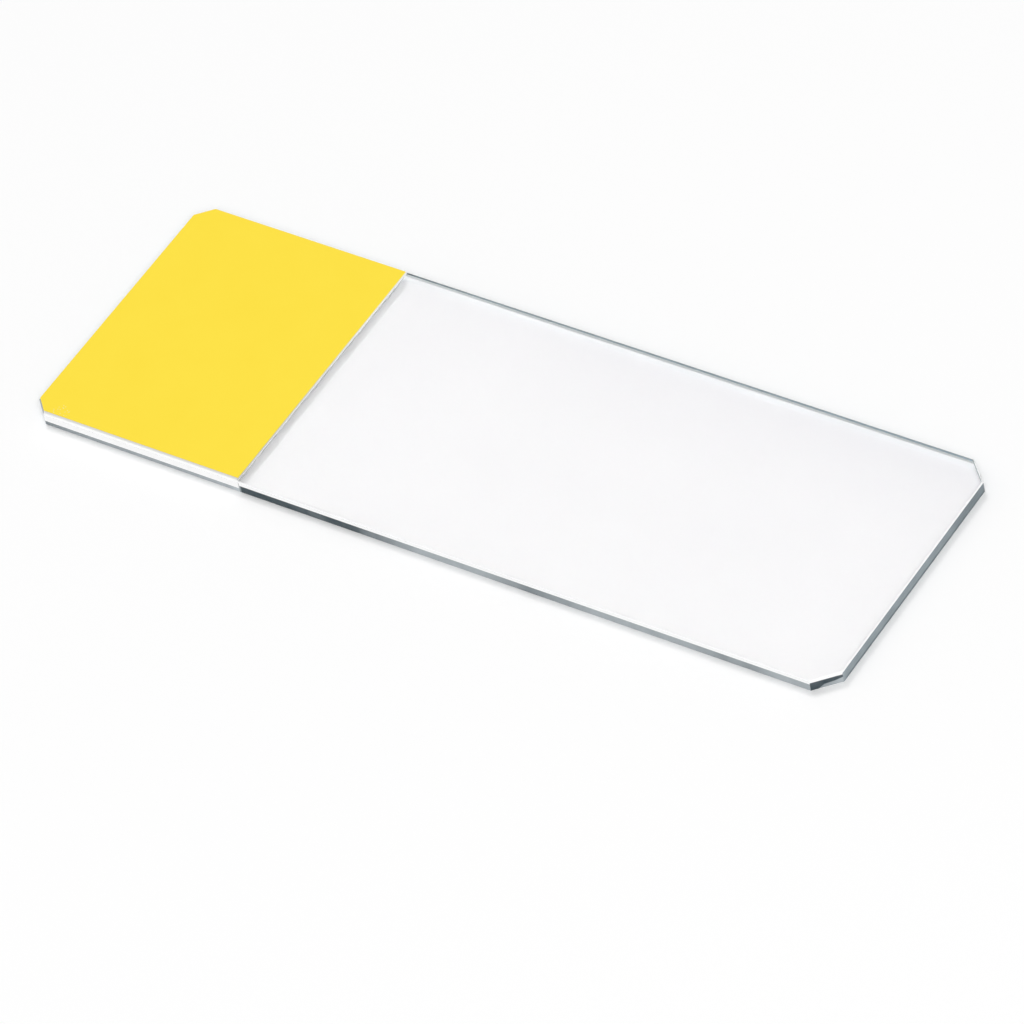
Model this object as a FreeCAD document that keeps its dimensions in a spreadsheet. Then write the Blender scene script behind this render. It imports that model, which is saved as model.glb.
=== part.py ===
# Microscope slide: a flat glass plate with ground edges and four clipped corners.
# A marking field is printed across its left end: a white ground coat on the glass, and a
# yellow coat over it that stops a little short at the front and at the inner end.
#
# Frame: millimetres, +Z up. The origin is the centre of the plate's underside. +X runs along
# the length, away from the marking field, and +Y runs across the width, to the back edge.
import FreeCAD, Part
import os
import Sketcher

# Driving dimensions. Each one is set here only, and goes into the sheet under its name.
SIZES = (
    ("plate_length", 76.0, "overall, along X"),
    ("plate_width", 26.0, "overall, along Y"),
    ("plate_thickness", 1.2, "top face to underside"),
    ("field_end_clip", 1.4, "leg of the 45 degree cut at each corner by the marking field"),
    ("clear_end_clip", 1.9, "leg of the 45 degree cut at each corner of the clear end"),
    ("top_bevel", 0.1, "ground bevel around the top face"),
    ("bottom_bevel", 0.1, "ground bevel around the underside"),
    ("field_length", 20.5, "left end of the plate to the inner end of the white coat"),
    ("white_thickness", 0.06, "white ground coat"),
    ("yellow_thickness", 0.05, "yellow marking coat"),
    ("front_margin", 0.25, "white left bare along the front edge of the yellow"),
    ("inner_margin", 0.15, "white left bare along the inner end of the yellow"),
)

# An outline set back by a distance on every side keeps this much less of its corner clip.
CLIP_LOST_PER_SETBACK = "(2 - sqrt(2))"

TOLERANCE = 1e-6

doc = FreeCAD.newDocument("microscope_slide")


def make_sheet():
    """The spreadsheet that drives the model: name, value and meaning in each row."""
    sheet = doc.addObject("Spreadsheet::Sheet", "sizes")
    for row, (name, value, meaning) in enumerate(SIZES, start=1):
        sheet.set("A%d" % row, name)
        sheet.set("B%d" % row, str(value))
        sheet.set("C%d" % row, meaning)
        sheet.setAlias("B%d" % row, name)
    doc.recompute()


def make_body(name, along, up):
    """An empty body on the slide's centre line, placed by two expressions."""
    body = doc.addObject("PartDesign::Body", name)
    body.Label = name
    body.setExpression(".Placement.Base.x", along)
    body.setExpression(".Placement.Base.z", up)
    return body


def origin_plane(body, role):
    """One of the body's own origin planes, by its role."""
    for feature in body.Origin.OriginFeatures:
        if feature.Role == role:
            return feature
    raise ValueError("%s has no %s" % (body.Label, role))


def rectangle_sketch(body, name):
    """A rectangle on the body's XY plane, joined and squared but not yet sized.

    Its lines are 0 front, 1 right, 2 back and 3 left, drawn anticlockwise from the front left.
    """
    sketch = body.newObject("Sketcher::SketchObject", name)
    sketch.AttachmentSupport = [(origin_plane(body, "XY_Plane"), "")]
    sketch.MapMode = "FlatFace"
    corners = [FreeCAD.Vector(x, y, 0) for x, y in ((1, -1), (3, -1), (3, 1), (1, 1))]
    for start, end in zip(corners, corners[1:] + corners[:1]):
        sketch.addGeometry(Part.LineSegment(start, end), False)
    for line in range(4):
        sketch.addConstraint(Sketcher.Constraint("Coincident", line, 2, (line + 1) % 4, 1))
    for line, direction in enumerate(("Horizontal", "Vertical", "Horizontal", "Vertical")):
        sketch.addConstraint(Sketcher.Constraint(direction, line))
    return sketch


def bind(sketch, name, kind, *ends, size):
    """Add a named distance between two points of a sketch, sized by an expression."""
    start_distance = 1.0
    index = sketch.addConstraint(Sketcher.Constraint(kind, *ends, start_distance))
    sketch.renameConstraint(index, name)
    sketch.setExpression("Constraints." + name, size)


def pad(body, sketch, name, thickness):
    """Pad a sketch upwards by a thickness from the sheet."""
    feature = body.newObject("PartDesign::Pad", name)
    feature.Profile = sketch
    feature.setExpression("Length", thickness)
    body.Tip = feature
    doc.recompute()
    return feature


def is_upright(edge):
    """True for an edge that runs along Z."""
    box = edge.BoundBox
    return box.ZLength > TOLERANCE and box.XLength < TOLERANCE and box.YLength < TOLERANCE


def upright_edges(feature, wanted):
    """Names of the feature's upright edges whose foot passes the wanted(x, y) test."""
    edges = enumerate(feature.Shape.Edges, start=1)
    upright = ((number, edge.Vertexes[0].Point) for number, edge in edges if is_upright(edge))
    return ["Edge%d" % number for number, foot in upright if wanted(foot.x, foot.y)]


def rim_edges(feature, rim):
    """Names of the edges around the feature's top face ("top") or underside ("bottom")."""
    box = feature.Shape.BoundBox
    height = box.ZMax if rim == "top" else box.ZMin
    names = []
    for number, edge in enumerate(feature.Shape.Edges, start=1):
        if all(abs(vertex.Z - height) < TOLERANCE for vertex in edge.Vertexes):
            names.append("Edge%d" % number)
    return names


def chamfer(body, base, name, edges, size):
    """Chamfer the named edges of a feature by a size from the sheet, and check it cut."""
    feature = body.newObject("PartDesign::Chamfer", name)
    feature.Base = (base, edges)
    feature.setExpression("Size", size)
    body.Tip = feature
    doc.recompute()
    if not feature.Shape.Volume < base.Shape.Volume:
        raise RuntimeError("%s cut nothing" % name)
    return feature


def make_plate():
    """The glass: a padded rectangle, its corners clipped and both its rims ground."""
    body = make_body("glass_plate", along="0", up="0")
    sketch = rectangle_sketch(body, "plate_outline")
    sketch.addConstraint(Sketcher.Constraint("Symmetric", 0, 1, 1, 2, -1, 1))
    bind(sketch, "length", "DistanceX", 0, 1, 0, 2, size="sizes.plate_length")
    bind(sketch, "width", "DistanceY", 1, 1, 1, 2, size="sizes.plate_width")
    slab = pad(body, sketch, "plate_slab", "sizes.plate_thickness")
    field_corners = upright_edges(slab, lambda x, y: x < 0)
    field_end = chamfer(body, slab, "field_end_clips", field_corners, "sizes.field_end_clip")
    clear_corners = upright_edges(field_end, lambda x, y: x > 0)
    clipped = chamfer(body, field_end, "clear_end_clips", clear_corners, "sizes.clear_end_clip")
    ground_top = chamfer(body, clipped, "top_rim", rim_edges(clipped, "top"),
                         "sizes.top_bevel")
    chamfer(body, ground_top, "bottom_rim", rim_edges(ground_top, "bottom"),
            "sizes.bottom_bevel")
    return body


def make_coat(name, up, thickness, front_margin, inner_margin):
    """A coat on the flat top of the left end, up to the bevels but for its two margins.

    Its body starts at the plate's left end, so its outline is measured from there. The clip
    at its front left corner stays in line with the plate's, so a front margin shortens it.
    """
    body = make_body(name, along="-sizes.plate_length / 2", up=up)
    sketch = rectangle_sketch(body, name + "_outline")
    to_back = "sizes.plate_width / 2 - sizes.top_bevel"
    bind(sketch, "left", "DistanceX", -1, 1, 3, 2, size="sizes.top_bevel")
    bind(sketch, "right", "DistanceX", -1, 1, 0, 2, size="sizes.field_length - " + inner_margin)
    bind(sketch, "back", "DistanceY", -1, 1, 2, 1, size=to_back)
    bind(sketch, "front", "DistanceY", 0, 1, -1, 1, size=to_back + " - " + front_margin)
    slab = pad(body, sketch, name + "_slab", thickness)

    clip = "sizes.field_end_clip - sizes.top_bevel * " + CLIP_LOST_PER_SETBACK
    inner_end = slab.Shape.BoundBox.XMax
    back_left = upright_edges(slab, lambda x, y: x < inner_end - TOLERANCE and y > 0)
    at_back = chamfer(body, slab, name + "_back_clip", back_left, clip)
    front_left = upright_edges(at_back, lambda x, y: x < inner_end - TOLERANCE and y < 0)
    chamfer(body, at_back, name + "_front_clip", front_left, clip + " - " + front_margin)
    return body


def check_and_write(bodies):
    """Stop on any failed object or bad shape, then write one STEP file per body."""
    doc.recompute()
    for item in doc.Objects:
        failed = [state for state in item.State if state in ("Invalid", "Error")]
        if failed:
            raise RuntimeError("%s is %s" % (item.Label, ", ".join(failed)))
    for body in bodies:
        shape = body.Shape
        if shape.isNull() or not shape.isValid() or len(shape.Solids) != 1:
            raise RuntimeError("%s is not one valid solid" % body.Label)
    os.makedirs("parts", exist_ok=True)
    for body in bodies:
        body.Shape.exportStep("parts/%s.step" % body.Label)
        box = body.Shape.BoundBox
        print("%-20s %7.3f mm3  x %7.3f to %7.3f  y %7.3f to %7.3f  z %6.3f to %6.3f" % (
            body.Label, body.Shape.Volume, box.XMin, box.XMax, box.YMin, box.YMax,
            box.ZMin, box.ZMax))


make_sheet()
glass_plate = make_plate()
white_coat = make_coat(
    "white_ground_coat",
    up="sizes.plate_thickness",
    thickness="sizes.white_thickness",
    front_margin="0",
    inner_margin="0",
)
yellow_coat = make_coat(
    "yellow_marking_coat",
    up="sizes.plate_thickness + sizes.white_thickness",
    thickness="sizes.yellow_thickness",
    front_margin="sizes.front_margin",
    inner_margin="sizes.inner_margin",
)
check_and_write((glass_plate, white_coat, yellow_coat))
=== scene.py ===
import math

import bmesh
import bpy
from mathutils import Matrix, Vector


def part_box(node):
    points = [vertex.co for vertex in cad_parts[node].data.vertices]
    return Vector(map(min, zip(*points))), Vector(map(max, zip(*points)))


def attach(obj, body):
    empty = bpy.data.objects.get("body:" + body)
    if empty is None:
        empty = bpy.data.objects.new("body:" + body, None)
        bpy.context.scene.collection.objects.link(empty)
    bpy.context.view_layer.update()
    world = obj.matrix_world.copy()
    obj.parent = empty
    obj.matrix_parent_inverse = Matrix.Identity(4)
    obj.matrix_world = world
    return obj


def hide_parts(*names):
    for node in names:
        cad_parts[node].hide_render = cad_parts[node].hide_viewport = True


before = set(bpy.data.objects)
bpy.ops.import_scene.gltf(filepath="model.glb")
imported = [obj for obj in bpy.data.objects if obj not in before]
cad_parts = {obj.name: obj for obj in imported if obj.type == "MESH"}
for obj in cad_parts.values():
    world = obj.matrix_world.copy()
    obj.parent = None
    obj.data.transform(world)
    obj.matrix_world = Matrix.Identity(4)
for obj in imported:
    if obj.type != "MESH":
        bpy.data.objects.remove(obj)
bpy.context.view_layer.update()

MM = 0.001
BLACK = (0, 0, 0, 1)
WHITE = (1.0, 1.0, 1.0, 1)


# ---- node helpers ----

DOT_CORE = 0.7         # the share of a dot's radius that is solid
CELL_STEP = 0.01       # how sharply a cell is in or out


class Nodes:
    """A material's or world's node tree, built by name."""

    def __init__(self, owner):
        owner.use_nodes = True
        self.tree = owner.node_tree
        self.tree.nodes.clear()

    def add(self, kind, **settings):
        node = self.tree.nodes.new(kind)
        for key, value in settings.items():
            setattr(node, key, value)
        return node

    def link(self, source, target):
        self.tree.links.new(source, target)

    def put(self, socket, value):
        """A number or colour is set on the socket, and another socket is linked to it."""
        if isinstance(value, bpy.types.NodeSocket):
            self.link(value, socket)
        else:
            socket.default_value = value

    def math(self, operation, *values, clamp=False):
        node = self.add("ShaderNodeMath", operation=operation, use_clamp=clamp)
        for socket, value in zip(node.inputs, values):
            self.put(socket, value)
        return node.outputs[0]

    def step(self, value, low, high):
        """0 below low and 1 above high, with a smooth rise between them."""
        node = self.add("ShaderNodeMapRange", interpolation_type="SMOOTHSTEP")
        self.put(node.inputs["Value"], value)
        self.put(node.inputs["From Min"], low)
        self.put(node.inputs["From Max"], high)
        return node.outputs["Result"]

    def spread(self, value, low, high):
        """A value from 0 to 1 spread from low to high."""
        node = self.add("ShaderNodeMapRange")
        self.put(node.inputs["Value"], value)
        node.inputs["To Min"].default_value = low
        node.inputs["To Max"].default_value = high
        return node.outputs["Result"]

    def both(self, a, b):
        """1 where both are 1, and 0 where either is 0."""
        return self.math("MULTIPLY", a, b)

    def mix(self, factor, a, b):
        """The colour a where the factor is 0, b where it is 1."""
        # the node's colour sockets come after its sockets for numbers and vectors
        node = self.add("ShaderNodeMix", data_type="RGBA")
        self.put(node.inputs[0], factor)
        self.put(node.inputs[6], a)
        self.put(node.inputs[7], b)
        return node.outputs[2]

    def blend(self, factor, a, b):
        """The number a where the factor is 0, b where it is 1."""
        node = self.add("ShaderNodeMix", data_type="FLOAT")
        self.put(node.inputs[0], factor)
        self.put(node.inputs[2], a)
        self.put(node.inputs[3], b)
        return node.outputs[0]

    def ramp(self, value, low, high, stops):
        """A number read off the stops, which are (place, number) with places from low to high."""
        node = self.add("ShaderNodeMapRange")
        self.put(node.inputs["Value"], value)
        node.inputs["From Min"].default_value = low
        node.inputs["From Max"].default_value = high
        ramp = self.add("ShaderNodeValToRGB")
        self.link(node.outputs["Result"], ramp.inputs[0])
        elements = ramp.color_ramp.elements
        while len(elements) < len(stops):
            elements.new(0.5)      # its place is set below
        for element, (place, number) in zip(elements, stops):
            element.position = (place - low) / (high - low)
            element.color = (number, number, number, 1)
        return ramp.outputs[0]

    def place(self):
        """The point's place in the row frame, in metres."""
        return self.add("ShaderNodeTexCoord").outputs["Object"]

    def axes(self, where, names):
        """The named coordinates of a place, such as XZ."""
        apart = self.add("ShaderNodeSeparateXYZ")
        self.link(where, apart.inputs[0])
        return [apart.outputs[name] for name in names]

    def scaled(self, where, scale):
        """A place with its coordinates multiplied by these three numbers."""
        node = self.add("ShaderNodeMapping")
        self.link(where, node.inputs["Vector"])
        node.inputs["Scale"].default_value = scale
        return node.outputs[0]

    def noise(self, where, size, stretch=(1, 1, 1), detail=3.0):
        """Noise with features about this size, in metres, from 0 to 1."""
        node = self.add("ShaderNodeTexNoise")
        self.link(self.scaled(where, [1 / (size * s) for s in stretch]), node.inputs["Vector"])
        node.inputs["Scale"].default_value = 1.0
        node.inputs["Detail"].default_value = detail
        return node.outputs["Fac"]

    def dots(self, where, apart, size, share):
        """Round dots of this radius, about this far apart, over this share of the cells."""
        node = self.add("ShaderNodeTexVoronoi", voronoi_dimensions="2D")
        self.link(self.scaled(where, [1 / apart] * 3), node.inputs["Vector"])
        node.inputs["Scale"].default_value = 1.0
        radius = size / apart
        dot = self.step(node.outputs["Distance"], radius, DOT_CORE * radius)
        return self.both(dot, self.step(node.outputs["Color"], share, share - CELL_STEP))

    def bump(self, height, depth):
        """A normal from this height map, with hills about this deep, in metres."""
        node = self.add("ShaderNodeBump")
        self.link(height, node.inputs["Height"])
        node.inputs["Distance"].default_value = depth
        return node.outputs["Normal"]

    def surface(self, **inputs):
        """The Principled shader, with its inputs by name, as the material's surface."""
        shader = self.add("ShaderNodeBsdfPrincipled")
        for key, value in inputs.items():
            self.put(shader.inputs[key.replace("_", " ")], value)
        out = self.add("ShaderNodeOutputMaterial")
        self.link(shader.outputs[0], out.inputs["Surface"])


# ---- the CAD model's places ----

NEAR = 0.001 * MM      # places nearer than this are the same
HEIGHT_DIGITS = 6      # decimals kept of a height in metres
CORNER_DIGITS = 7      # decimals kept of a corner in metres

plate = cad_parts["glass_plate"]
plate_low, plate_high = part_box("glass_plate")
white_low, white_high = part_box("white_ground_coat")
yellow_low, yellow_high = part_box("yellow_marking_coat")

wall_heights = sorted({round(v.co.z, HEIGHT_DIGITS) for v in plate.data.vertices})
wall_bottom, wall_top = wall_heights[1], wall_heights[-2]


def outline(node, height):
    """The corners of a flat node's outline at this height, anticlockwise, in the row frame."""
    low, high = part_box(node)
    level = [v.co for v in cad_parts[node].data.vertices if abs(v.co.z - height) < NEAR]
    places = {(round(p.x, CORNER_DIGITS), round(p.y, CORNER_DIGITS)) for p in level}
    middle = (low + high) / 2
    return sorted(places, key=lambda p: math.atan2(p[1] - middle.y, p[0] - middle.x))


plate_outline = outline("glass_plate", wall_top)
along_back = [x for x, y in plate_outline if y > plate_high.y - NEAR]
BEVEL = wall_bottom - plate_low.z
CLEAR_END_CLIP = plate_high.x - max(along_back)
FIELD_END_CLIP = min(along_back) - plate_low.x


# ---- the clear glass ----

GLASS_IOR = 1.52
SOFT = 0.02 * MM                       # the width of a painted border
GRAIN = 0.12 * MM                      # the size of the grain that grinding leaves

BRIGHT_GLASS = (1.0, 0.997, 1.0, 1)
GREYER_GLASS = (0.953, 0.950, 0.962, 1)
SMEAR = 9 * MM                         # the size of the smears that wiping leaves
SMEAR_STRETCH = (1.6, 0.8, 1)
SMEAR_GREY = (-0.17, 0.10)
HAZE_START, HAZE_FULL = 0.42, 0.72     # the smears that are hazy
HAZE_ROUGHNESS = 0.05

# a painted dark line on top of the back clip, standing in for the dark edge the glass shows there
TOP_START, TOP_FULL = 0.90 * plate_high.z, 0.95 * plate_high.z
CLIP_LINE_WIDTH = 0.06 * MM                 # the painted line's width beyond the bevel
CLIP_SHADE_COLOUR = (0.45, 0.49, 0.50, 1)
CLIP_LINE_START = 1 * MM               # it comes in over this, behind the middle

# painted shade: how grey the glass is, from 0, BRIGHT_GLASS, to 1, GREYER_GLASS: the first is
# multiplied by the second, and the rest is added
GREY_BACKWARD = [
    (plate_low.y, 0.0),
    (-4 * MM, 0.08),
    (4 * MM, 0.20),
    (10 * MM, 0.60),
    (plate_high.y, 0.72),
]
GREY_SHARE_RIGHTWARD = [
    (white_high.x, 0.40),
    (-6 * MM, 0.60),
    (4 * MM, 0.80),
    (plate_high.x, 1.0),
]
GREY_ENDWARD = [
    (white_high.x, 0.10),
    (-6 * MM, 0.0),
    (12 * MM, 0.03),
    (plate_high.x, 0.12),
]
GREY_AT_BACK = 0.35
GREY_AT_BACK_START = 10 * MM


def clip_shade_line(n, x, y):
    """Where the painted dark line shows on top, along the back clip of the clear end."""
    cut = plate_high.x + plate_high.y - CLEAR_END_CLIP - math.sqrt(2) * (BEVEL + CLIP_LINE_WIDTH)
    past_cut = n.step(n.math("ADD", x, y), cut - SOFT, cut)
    return n.both(past_cut, n.step(y, 0.0, CLIP_LINE_START))


def clear_glass():
    """Polished soda-lime glass, with a wiped slide's faint haze, painted shade towards the back,
    the ends and the print, and a painted dark line at one clip.
    """
    material = bpy.data.materials.new("polished_glass")
    n = Nodes(material)
    where = n.place()
    x, y, z = n.axes(where, "XYZ")
    smears = n.noise(where, SMEAR, stretch=SMEAR_STRETCH, detail=4)
    haze = n.step(smears, HAZE_START, HAZE_FULL)
    line = n.both(clip_shade_line(n, x, y), n.step(z, TOP_START, TOP_FULL))

    # painted shade: the glass is a little greyer towards the back, the ends and the print
    backward = n.ramp(y, plate_low.y, plate_high.y, GREY_BACKWARD)
    rightward = n.ramp(x, plate_low.x, plate_high.x, GREY_SHARE_RIGHTWARD)
    at_back = n.spread(n.step(y, GREY_AT_BACK_START, plate_high.y), 0.0, GREY_AT_BACK)
    backward = n.math("MULTIPLY_ADD", backward, rightward, at_back)
    endward = n.ramp(x, plate_low.x, plate_high.x, GREY_ENDWARD)
    grey = n.math("ADD", backward, endward)
    grey = n.math("ADD", grey, n.spread(smears, *SMEAR_GREY), clamp=True)
    n.surface(
        Base_Color=n.mix(line, n.mix(grey, BRIGHT_GLASS, GREYER_GLASS), CLIP_SHADE_COLOUR),
        Roughness=n.spread(haze, 0.0, HAZE_ROUGHNESS),
        IOR=GLASS_IOR,
        Transmission_Weight=n.math("SUBTRACT", 1.0, line),
    )
    return material


# ---- the back wall, the field end and their bevels ----

# these hardly bend light: with the glass's own index, dark bands show inside the back edge
WALL_IOR = 1.05
FOOT_IOR = 1.005

DEEP_TONE = (0.003, 0.020, 0.030, 1)
# painted shade: the rim is painted dark on the walls' upper part, for the dark line the glass
# shows along its back edge
RIM_COLOUR = (0.55, 0.68, 0.76, 1)
RIM_FOOT_AT_PRINT = 0.63 * MM          # the height at which the rim starts
RIM_FOOT_AT_END = 0.52 * MM
RIM_COVER = 0.72                       # the share of the light that the rim stops
DARKER_WALL = (0.70, 0.76, 0.76, 1)
PALER_WALL = (0.80, 0.86, 0.86, 1)
STREAK = 0.5 * MM
STREAK_STRETCH = (1, 1, 0.2)
STREAK_DEPTH = 0.002 * MM
WALL_ROUGHNESS = (0.8, 0.95)

# how pale the rim's painted shade is along the back, from DEEP_TONE to RIM_COLOUR
RIM_TONE = [
    (white_high.x - 0.1 * MM, 1.00),
    (white_high.x, 0.15),
    (white_high.x + 0.7 * MM, 0.45),
    (white_high.x + 6 * MM, 0.75),
    (plate_high.x, 1.00),
]

FOOT_TINT = (0.97, 0.98, 0.98, 1)
FOOT_ROUGHNESS = (0.0, 0.05)
ARRIS_TINT = (0.95, 0.97, 0.97, 1)
ARRIS_ROUGHNESS = (0.35, 0.5)


def polished_wall():
    """The walls at the back and the field end: cut glass under a mostly opaque rim of painted
    shade, for the dark line along the back edge.
    """
    material = bpy.data.materials.new("polished_wall")
    n = Nodes(material)
    where = n.place()
    x, z = n.axes(where, "XZ")
    streaks = n.noise(where, STREAK, stretch=STREAK_STRETCH, detail=3)
    along = n.math("DIVIDE", n.math("SUBTRACT", x, white_high.x), plate_high.x - white_high.x)
    foot = n.spread(along, RIM_FOOT_AT_PRINT, RIM_FOOT_AT_END)
    rim = n.step(n.math("SUBTRACT", z, foot), -SOFT, 0.0)
    rim_tone = n.ramp(x, plate_low.x, plate_high.x, RIM_TONE)
    wall = n.mix(streaks, DARKER_WALL, PALER_WALL)
    n.surface(
        Base_Color=n.mix(rim, wall, n.mix(rim_tone, DEEP_TONE, RIM_COLOUR)),
        Roughness=n.spread(streaks, *WALL_ROUGHNESS),
        IOR=WALL_IOR,
        Transmission_Weight=n.spread(rim, 1.0, 1.0 - RIM_COVER),
        Normal=n.bump(streaks, STREAK_DEPTH),
    )
    return material


def bevel_glass(name, tint, roughness, ior):
    """Clear glass on a narrow bevel, its tint and roughness broken up by the grain."""
    material = bpy.data.materials.new(name)
    n = Nodes(material)
    grain = n.noise(n.place(), GRAIN, detail=2)
    n.surface(
        Base_Color=n.mix(grain, tint, WHITE),
        Roughness=n.spread(grain, *roughness),
        IOR=ior,
        Transmission_Weight=1.0,
    )
    return material


# ---- the frosted glass ----

FROST_COLOUR = (0.95, 0.95, 0.95, 1)
# painted shade on the frost of the field end's front clip
CLIP_SHADE_ON_FROST = (0.36, 0.39, 0.41, 1)
FROST_CLIP_BORDER = 0.25 * MM
FROST_CLIP_COVER = (0.9, 1.0)
FROST_DEPTH = 0.01 * MM


def frosted_glass(name):
    """Finely ground glass: nearly white, with painted shade that greys it on the field end's front
    clip.
    """
    material = bpy.data.materials.new(name)
    n = Nodes(material)
    where = n.place()
    [x] = n.axes(where, "X")
    grain = n.noise(where, GRAIN, detail=2)
    clip_end = plate_low.x + FIELD_END_CLIP
    on_clip = n.step(x, clip_end, clip_end - FROST_CLIP_BORDER)
    grey = n.both(on_clip, n.spread(grain, *FROST_CLIP_COVER))
    n.surface(
        Base_Color=n.mix(grey, FROST_COLOUR, CLIP_SHADE_ON_FROST),
        Roughness=0.5,
        IOR=GLASS_IOR,
        Normal=n.bump(grain, FROST_DEPTH),
    )
    return material


# ---- the ground sides, with painted shade ----

HAIR = 0.01 * MM                       # the width of a sharp painted border
DARK_START = white_high.x + 0.08 * MM  # where the clear part's dark begins
CLIP_START = plate_high.x - CLEAR_END_CLIP
FIELD_CLIP_END = plate_low.x + FIELD_END_CLIP

# how high the painted dark reaches, and how softly it ends
DARK_HEIGHT_FIELD = 0.47 * MM
DARK_HEIGHT_CLEAR = 0.78 * MM
DARK_HEIGHT_CLIP = 0.92 * MM
DARK_BORDER = 0.03 * MM

# painted shade: tones run from 0, DEEP_TONE, to 1, PALE_TONE or on the clear end PALE_TONE_END
PALE_TONE = (0.89, 0.95, 0.99, 1)
PALE_TONE_END = (0.76, 0.85, 0.90, 1)

SIDE_TONE = [
    (FIELD_CLIP_END, 0.27),
    (plate_low.x + 5 * MM, 0.36),
    (DARK_START - 1 * MM, 0.44),
    (DARK_START - 0.10 * MM, 0.58),
    (DARK_START - 0.01 * MM, 0.58),
    (DARK_START + 0.02 * MM, 0.07),
    (-11 * MM, 0.08),
    (-10 * MM, 0.16),
    (-9 * MM, 0.09),
    (-6 * MM, 0.10),
    (-5 * MM, 0.22),
    (-2 * MM, 0.34),
    (0 * MM, 0.43),
    (6 * MM, 0.43),
    (10.5 * MM, 0.24),
    (13 * MM, 0.34),
    (16 * MM, 0.43),
    (25 * MM, 0.42),
    (28 * MM, 0.34),
    (31 * MM, 0.34),
    (33 * MM, 0.44),
]

# a painted grey wedge on the front clip of the clear end, under the painted dark
WEDGE_HEIGHT = [                       # a share of DARK_HEIGHT_CLIP
    (CLIP_START, 0.0),
    (CLIP_START + 0.18 * CLEAR_END_CLIP, 0.05),
    (CLIP_START + 0.42 * CLEAR_END_CLIP, 0.50),
    (CLIP_START + 0.75 * CLEAR_END_CLIP, 0.58),
    (plate_high.x, 0.74),
]
WEDGE_BORDER = (-0.08, 0.02)
WEDGE_TONE = (0.30, 0.46)
ABOVE_WEDGE_TONE = 0.08

# painted shade on the clear end, which is darker at its foot and towards the back, and paler at
# its front corner
END_TONE_FRONT, END_TONE_BACK = 0.37, 0.27
END_BACK_START, END_BACK_FULL = 3 * MM, 9 * MM
END_FOOT_TONE = 0.22
END_FOOT_START, END_FOOT_FULL = 0.36 * MM, 0.26 * MM
END_CORNER_TONE = 0.42
END_CORNER = 0.7 * MM

# painted shade on the field end's front clip, which is paler
LEFT_CLIP_TONE = (0.50, 0.75)
LEFT_CLIP_START, LEFT_CLIP_FULL = plate_low.x + 0.3 * MM, plate_low.x + 0.8 * MM

MOTTLE = 1.2 * MM
MOTTLE_TONE = (-0.07, 0.07)

COAT_EDGE_SHADOW = white_high.x + 0.06 * MM        # a painted shadow line under the white ground's inner end, where the coat's edge shades the side
COAT_SHADOW_OUTSIDE, COAT_SHADOW_INSIDE = 0.06 * MM, 0.04 * MM
COAT_SHADOW_COLOUR = (0.60, 0.60, 0.59, 1)
EDGE_GRAIN = 0.1 * MM
EDGE_GRAIN_DEPTH = 0.006 * MM


def dark_tone(n, x, y, z, on_clip, on_end, on_left_clip):
    """How dark the painted shade of the low part is along the sides, on the clips and on the clear
    end.
    """
    side = n.ramp(x, plate_low.x, plate_high.x, SIDE_TONE)

    wedge = n.ramp(x, CLIP_START, plate_high.x, WEDGE_HEIGHT)
    above = n.math("SUBTRACT", n.math("DIVIDE", z, DARK_HEIGHT_CLIP), wedge)
    in_wedge = n.spread(n.step(x, CLIP_START, plate_high.x), *WEDGE_TONE)
    clip = n.blend(n.step(above, *WEDGE_BORDER), in_wedge, ABOVE_WEDGE_TONE)

    towards_back = n.step(y, END_BACK_START, END_BACK_FULL)
    end = n.blend(towards_back, END_TONE_FRONT, END_TONE_BACK)
    end = n.blend(n.step(z, END_FOOT_START, END_FOOT_FULL), end, END_FOOT_TONE)
    corner = plate_low.y + CLEAR_END_CLIP
    end = n.blend(n.step(y, corner + END_CORNER, corner), end, END_CORNER_TONE)

    left_clip = n.spread(n.step(x, LEFT_CLIP_START, LEFT_CLIP_FULL), *LEFT_CLIP_TONE)
    tone = n.blend(on_clip, side, n.blend(on_end, clip, end))
    return n.blend(on_left_clip, tone, left_clip)


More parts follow.
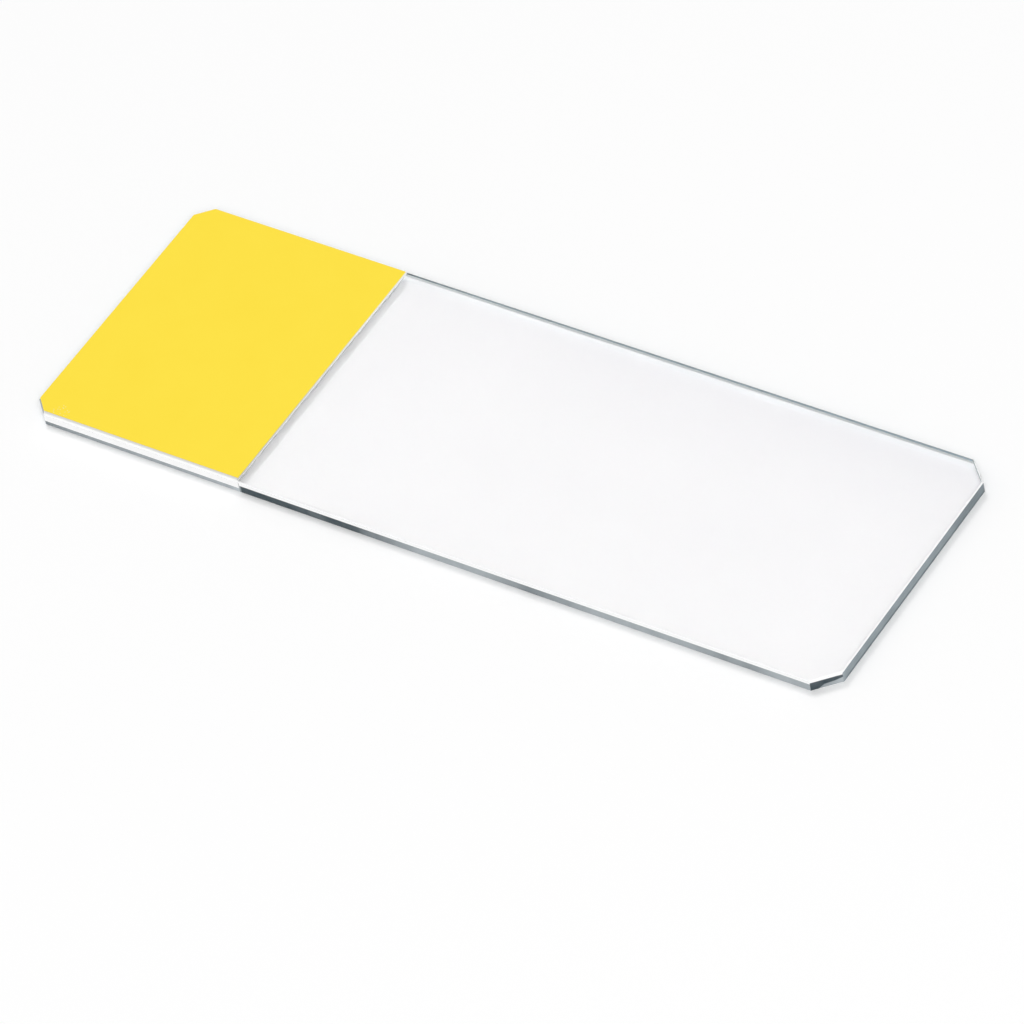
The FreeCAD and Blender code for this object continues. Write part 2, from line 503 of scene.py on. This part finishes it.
def ground_edge_painted_shade():
    """The plate's ground sides: dark low down, painted shade where they look into the glass, and
    white above, ground glass that under the print also stands in for the white coat seen through
    it.
    """
    material = bpy.data.materials.new("ground_edge_painted_shade")
    n = Nodes(material)
    where = n.place()
    x, y, z = n.axes(where, "XYZ")
    past_print = n.step(x, DARK_START - HAIR, DARK_START + HAIR)
    on_clip = n.step(x, CLIP_START - HAIR, CLIP_START + HAIR)
    on_end = n.step(x, plate_high.x - 2 * HAIR, plate_high.x - HAIR)
    on_left_clip = n.step(x, FIELD_CLIP_END, FIELD_CLIP_END - HAIR)

    height = n.blend(past_print, DARK_HEIGHT_FIELD, DARK_HEIGHT_CLEAR)
    height = n.blend(on_clip, height, DARK_HEIGHT_CLIP)
    height = n.blend(on_end, height, wall_top)
    height = n.blend(on_left_clip, height, wall_top)
    above = n.step(n.math("SUBTRACT", z, height), 0.0, DARK_BORDER)
    dark = n.math("SUBTRACT", 1.0, above)

    tone = dark_tone(n, x, y, z, on_clip, on_end, on_left_clip)
    mottle = n.spread(n.noise(where, MOTTLE, detail=4), *MOTTLE_TONE)
    pale = n.mix(on_end, PALE_TONE, PALE_TONE_END)
    shade = n.mix(n.math("ADD", tone, mottle, clamp=True), DEEP_TONE, pale)

    beside = n.math("ABSOLUTE", n.math("SUBTRACT", x, COAT_EDGE_SHADOW))
    white = n.mix(n.step(beside, COAT_SHADOW_OUTSIDE, COAT_SHADOW_INSIDE), FROST_COLOUR, COAT_SHADOW_COLOUR)
    grain = n.noise(where, EDGE_GRAIN, detail=2)
    n.surface(
        Base_Color=n.mix(dark, white, shade),
        Roughness=0.5,
        Specular_IOR_Level=0.1,
        Normal=n.bump(grain, EDGE_GRAIN_DEPTH),
    )
    return material


# ---- the inks ----

INK_ROUGHNESS = 0.7
INK_SPECULAR = 0.2
INK_GRAIN = 0.15 * MM
INK_GRAIN_DEPTH = 0.004 * MM

# the white ground's tones run from 0, black, to 1, WHITE_INK
WHITE_INK = (0.99, 1.0, 0.985, 1)
WHITE_TOP_TONE = 0.98
WHITE_TOP_START, WHITE_TOP_FULL = white_high.z - 0.004 * MM, white_high.z - 0.002 * MM
WHITE_SIDE_TONE = 0.94
INNER_RIM_SHADE = (0.55, 0.80)          # painted shade, from the front to the back
INNER_RIM_BORDER = 0.03 * MM
FRONT_RIM_SHADE = (0.64, 0.80)          # painted shade, from the yellow to the white's own edge
FRONT_RIM_BORDER = 0.02 * MM
WHITE_MOTTLE = 0.5 * MM
WHITE_MOTTLE_TONE = (-0.05, 0.05)


def white_ink():
    """The white ground, with painted shade that greys its rims past the yellow and in front of it.
    """
    material = bpy.data.materials.new("white_ink")
    n = Nodes(material)
    where = n.place()
    x, y, z = n.axes(where, "XYZ")
    grain = n.noise(where, INK_GRAIN, detail=3)
    mottle = n.spread(n.noise(where, WHITE_MOTTLE, detail=3), *WHITE_MOTTLE_TONE)
    on_top = n.step(z, WHITE_TOP_START, WHITE_TOP_FULL)
    inner_rim = n.step(x, yellow_high.x - INNER_RIM_BORDER, yellow_high.x)
    front_rim = n.step(y, yellow_low.y + FRONT_RIM_BORDER, yellow_low.y)
    backward = n.step(y, white_low.y, white_high.y)
    inner_shade = n.math("ADD", n.spread(backward, *INNER_RIM_SHADE), mottle)
    front_shade = n.spread(n.step(y, yellow_low.y, white_low.y), *FRONT_RIM_SHADE)
    tone = n.blend(front_rim, WHITE_SIDE_TONE, front_shade)
    tone = n.blend(inner_rim, tone, inner_shade)
    tone = n.blend(on_top, WHITE_TOP_TONE, tone)
    n.surface(
        Base_Color=n.mix(tone, BLACK, WHITE_INK),
        Roughness=INK_ROUGHNESS,
        Specular_IOR_Level=INK_SPECULAR,
        Normal=n.bump(grain, INK_GRAIN_DEPTH),
    )
    return material


YELLOW_DEEP = (0.985, 0.748, 0.048, 1)
YELLOW_BRIGHT = (1.0, 0.772, 0.056, 1)
YELLOW_CLOUD = 3 * MM

# flecks in an oval patch, where the ink is worn through
FLECK_COLOUR = (0.90, 0.82, 0.42, 1)
FLECK_APART = 0.30 * MM
FLECK_RADIUS = 0.045 * MM
FLECK_SHARE = 0.75
WORN_X, WORN_Y = yellow_low.x + 2.5 * MM, yellow_low.y + 0.5 * MM
WORN_REACH_X, WORN_REACH_Y = 0.8 * MM, 0.7 * MM
WORN_FULL = 0.8                        # the share of the patch's squared reach that is full


def yellow_ink():
    """Flat yellow screen ink, a little broken at the corner that is held most."""
    material = bpy.data.materials.new("yellow_ink")
    n = Nodes(material)
    where = n.place()
    x, y = n.axes(where, "XY")
    grain = n.noise(where, INK_GRAIN, detail=3)
    cloud = n.noise(where, YELLOW_CLOUD, detail=3)
    yellow = n.mix(cloud, YELLOW_DEEP, YELLOW_BRIGHT)
    reach_x = n.math("DIVIDE", n.math("SUBTRACT", x, WORN_X), WORN_REACH_X)
    reach_y = n.math("DIVIDE", n.math("SUBTRACT", y, WORN_Y), WORN_REACH_Y)
    away = n.math("ADD", n.both(reach_x, reach_x), n.both(reach_y, reach_y))
    worn = n.step(away, 1.0, WORN_FULL)
    fleck = n.both(worn, n.dots(where, FLECK_APART, FLECK_RADIUS, FLECK_SHARE))
    n.surface(
        Base_Color=n.mix(fleck, yellow, FLECK_COLOUR),
        Roughness=INK_ROUGHNESS,
        Specular_IOR_Level=INK_SPECULAR,
        Normal=n.bump(grain, INK_GRAIN_DEPTH),
    )
    return material


# ---- the plate's faces ----

UPRIGHT = 0.1          # a face stands upright where its normal rises less than this
FLAT = 0.9             # and lies flat where it rises more than this
FACING = 0.1           # a wall faces the front or back where its normal leans this far that way

plate_materials = [
    clear_glass(),
    frosted_glass("frosted_bevel"),
    polished_wall(),
    bevel_glass("clear_foot", FOOT_TINT, FOOT_ROUGHNESS, FOOT_IOR),
    bevel_glass("ground_arris", ARRIS_TINT, ARRIS_ROUGHNESS, GLASS_IOR),
]
POLISHED, FROSTED, WALL, FOOT, ARRIS = range(len(plate_materials))

plate.data.materials.clear()
for material in plate_materials:
    plate.data.materials.append(material)


def seen_side(normal):
    """Whether a wall facing this way is on the slide's front or clear end, which are ground."""
    return normal.y < FACING and (normal.y < -FACING or normal.x > 0)


for face in plate.data.polygons:
    if abs(face.normal.z) < UPRIGHT:
        face.material_index = POLISHED if seen_side(face.normal) else WALL
    elif abs(face.normal.z) > FLAT:
        face.material_index = POLISHED
    elif face.normal.z < 0:
        face.material_index = FOOT
    else:
        face.material_index = FROSTED if seen_side(face.normal) else ARRIS


# ---- building pieces ----

def offset(corners, out):
    """The outline moved outward by this much, with mitred corners."""
    moved = []
    count = len(corners)
    for i, here in enumerate(corners):
        before, after = Vector(corners[i - 1]), Vector(corners[(i + 1) % count])
        here = Vector(here)
        a, b = (here - before).normalized(), (after - here).normalized()
        across_a, across_b = Vector((a.y, -a.x)), Vector((b.y, -b.x))
        moved.append(here + (across_a + across_b) * (out / (1 + across_a.dot(across_b))))
    return moved


def new_piece(name, work, materials):
    """A piece of this name from the bmesh, riding on the root."""
    mesh = bpy.data.meshes.new(name)
    work.to_mesh(mesh)
    work.free()
    piece = bpy.data.objects.new(name, mesh)
    bpy.context.scene.collection.objects.link(piece)
    for material in materials:
        mesh.materials.append(material)
    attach(piece, "root")
    return piece


def strip(name, path, profile, materials):
    """A closed strip: the profile's (out, height) points swept along the path and capped."""
    work = bmesh.new()
    rows = [[work.verts.new((p.x, p.y, height)) for p in path(out)] for out, height in profile]
    for a, b in zip(rows, rows[1:] + rows[:1]):
        for i in range(len(a) - 1):
            work.faces.new((a[i], a[i + 1], b[i + 1], b[i]))
    work.faces.new([row[0] for row in rows])
    work.faces.new([row[-1] for row in rows])
    bmesh.ops.recalc_face_normals(work, faces=work.faces)
    return new_piece(name, work, materials)


# ---- the ground edge, a skin that carries the sides' painted shade ----

EDGE_GAP = 0.003 * MM                  # from the plate to the strip's inner side
EDGE_SKIN = 0.010 * MM                 # and to its outer side
EDGE_END_AREA = 0.05 * MM * MM         # the strip's ends are smaller than this
SLANT = math.sqrt(0.5)


def seen_path(out):
    """The outline's corners from the field end's front clip round to the clear end's back clip."""
    moved = offset(plate_outline, out)
    in_front = [i for i, corner in enumerate(moved) if corner.y < 0]
    first = min(in_front, key=lambda i: (moved[i].x, moved[i].y))
    order = moved[first:] + moved[:first]
    last = max(range(len(order)), key=lambda i: (order[i].x, order[i].y))
    return order[:last + 1]


edge_profile = [
    (EDGE_GAP, wall_top),
    (EDGE_GAP, wall_bottom),
    (SLANT * EDGE_GAP - BEVEL, plate_low.z - SLANT * EDGE_GAP),
    (SLANT * EDGE_SKIN - BEVEL, plate_low.z - SLANT * EDGE_SKIN),
    (EDGE_SKIN, wall_bottom),
    (EDGE_SKIN, wall_top),
]
edge_materials = [ground_edge_painted_shade(), frosted_glass("frosted_inside")]
OUTSIDE, INSIDE = range(len(edge_materials))

# the strip is a skin over the front and clear-end walls that carries their painted shade, with
# their white ground finish above it
edge = strip("ground_edge_painted_shade", seen_path, edge_profile, edge_materials)
for face in edge.data.polygons:
    across = Vector((face.normal.x, face.normal.y, 0))
    outward = abs(face.normal.z) < FLAT and face.center.dot(across) > 0
    face.material_index = OUTSIDE if outward and face.area > EDGE_END_AREA else INSIDE


# ---- the printed coats ----

PRINT_SUNK = 0.005 * MM                # a coat reaches this far into what it is printed on
PRINT_RIM = 0.025 * MM                 # the radius of its rounded rim
PRINT_RIM_STEPS = 4


def printed_coat(name, node, material):
    """A coat of ink in its CAD node's place, its rim rounded over as wet ink sets."""
    low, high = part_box(node)
    corners = outline(node, high.z)
    profile = [(0.0, low.z - PRINT_SUNK)]
    for i in range(PRINT_RIM_STEPS + 1):
        turn = math.radians(90) * i / PRINT_RIM_STEPS
        out = PRINT_RIM * (math.cos(turn) - 1)
        profile.append((out, high.z - PRINT_RIM * (1 - math.sin(turn))))
    work = bmesh.new()
    rows = [[work.verts.new((p.x, p.y, height)) for p in offset(corners, out)]
            for out, height in profile]
    for below, above in zip(rows, rows[1:]):
        for i in range(len(below)):
            work.faces.new((below[i - 1], below[i], above[i], above[i - 1]))
    work.faces.new(rows[-1])
    work.faces.new(list(reversed(rows[0])))
    piece = new_piece(name, work, [material])
    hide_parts(node)


printed_coat("white_ground_print", "white_ground_coat", white_ink())
printed_coat("yellow_marking_print", "yellow_marking_coat", yellow_ink())


# ---- floor and light ----

FLOOR_GAP = 0.03 * MM
FLOOR_SIDE = 8.0
FLOOR_COLOUR = (0.985, 0.985, 0.985, 1)

bpy.ops.mesh.primitive_plane_add(size=FLOOR_SIDE, location=(0, 0, -FLOOR_GAP))
floor = bpy.context.object
floor.name = "floor"
floor_material = bpy.data.materials.new("floor")
n = Nodes(floor_material)
n.surface(Base_Color=FLOOR_COLOUR, Roughness=1.0, Specular_IOR_Level=0.0)
floor.data.materials.append(floor_material)

SKY_COLOUR = (0.47, 0.47, 0.47, 1)     # overhead, and white at the horizon and below
SKY_START, SKY_FULL = 0.05, 0.2        # the upward share of a direction where the sky comes in

world = bpy.data.worlds.new("studio")
bpy.context.scene.world = world
n = Nodes(world)
[upward] = n.axes(n.add("ShaderNodeTexCoord").outputs["Generated"], "Z")
background = n.add("ShaderNodeBackground")
n.link(n.mix(n.step(upward, SKY_START, SKY_FULL), WHITE, SKY_COLOUR), background.inputs["Color"])
out = n.add("ShaderNodeOutputWorld")
n.link(background.outputs[0], out.inputs["Surface"])


def toward(azimuth, elevation):
    """The direction from the slide to something at this azimuth and elevation, in degrees."""
    a, e = math.radians(azimuth), math.radians(elevation)
    return Vector((math.sin(a) * math.cos(e), -math.cos(a) * math.cos(e), math.sin(e)))


def softbox(name, azimuth, elevation, distance, width, watts):
    """A round lamp of this width, in metres, facing the slide."""
    light = bpy.data.lights.new(name, "AREA")
    light.shape = "DISK"
    light.size = width
    light.energy = watts
    lamp = bpy.data.objects.new(name, light)
    back = toward(azimuth, elevation)
    lamp.location = back * distance
    lamp.rotation_mode = "QUATERNION"
    lamp.rotation_quaternion = back.to_track_quat("Z", "Y")
    bpy.context.scene.collection.objects.link(lamp)


softbox("key", azimuth=230, elevation=64, distance=2.0, width=0.72, watts=9.2)
softbox("front", azimuth=42, elevation=47, distance=2.0, width=1.2, watts=18.8)


# ---- camera ----

CAMERA_AZIMUTH = 40.48
CAMERA_ELEVATION = 45.11
CAMERA_ROLL = -12.19
CAMERA_DISTANCE = 657.4 * MM
CAMERA_AIM = Vector((4.56, -6.41, 0.6)) * MM
CAMERA_LENS = 290.4    # a long lens, in millimetres, on a sensor of the width below
CAMERA_SENSOR = 36.0
CAMERA_NEAR, CAMERA_FAR = 0.01, 100.0

camera_data = bpy.data.cameras.new("camera")
camera_data.lens = CAMERA_LENS
camera_data.sensor_width = CAMERA_SENSOR
camera_data.clip_start = CAMERA_NEAR
camera_data.clip_end = CAMERA_FAR
camera = bpy.data.objects.new("camera", camera_data)
bpy.context.scene.collection.objects.link(camera)
bpy.context.scene.camera = camera
back = toward(CAMERA_AZIMUTH, CAMERA_ELEVATION)
camera.location = CAMERA_AIM + back * CAMERA_DISTANCE
level = (-back).cross(Vector((0, 0, 1))).normalized()
upright = level.cross(-back)
roll = math.radians(CAMERA_ROLL)
right = level * math.cos(roll) + upright * math.sin(roll)
above = upright * math.cos(roll) - level * math.sin(roll)
turned = camera.matrix_world.to_3x3()
turned.col[0], turned.col[1], turned.col[2] = right, above, back
camera.rotation_mode = "QUATERNION"
camera.rotation_quaternion = turned.to_quaternion()


# ---- rendering and size ----

scene = bpy.context.scene
scene.view_settings.view_transform = "Standard"
scene.cycles.blur_glossy = 0.0

# light inside the glass turns back many times at its edges
scene.cycles.max_bounces = 32
scene.cycles.transmission_bounces = 32
scene.cycles.glossy_bounces = 16
scene.cycles.diffuse_bounces = 32

bpy.context.view_layer.update()
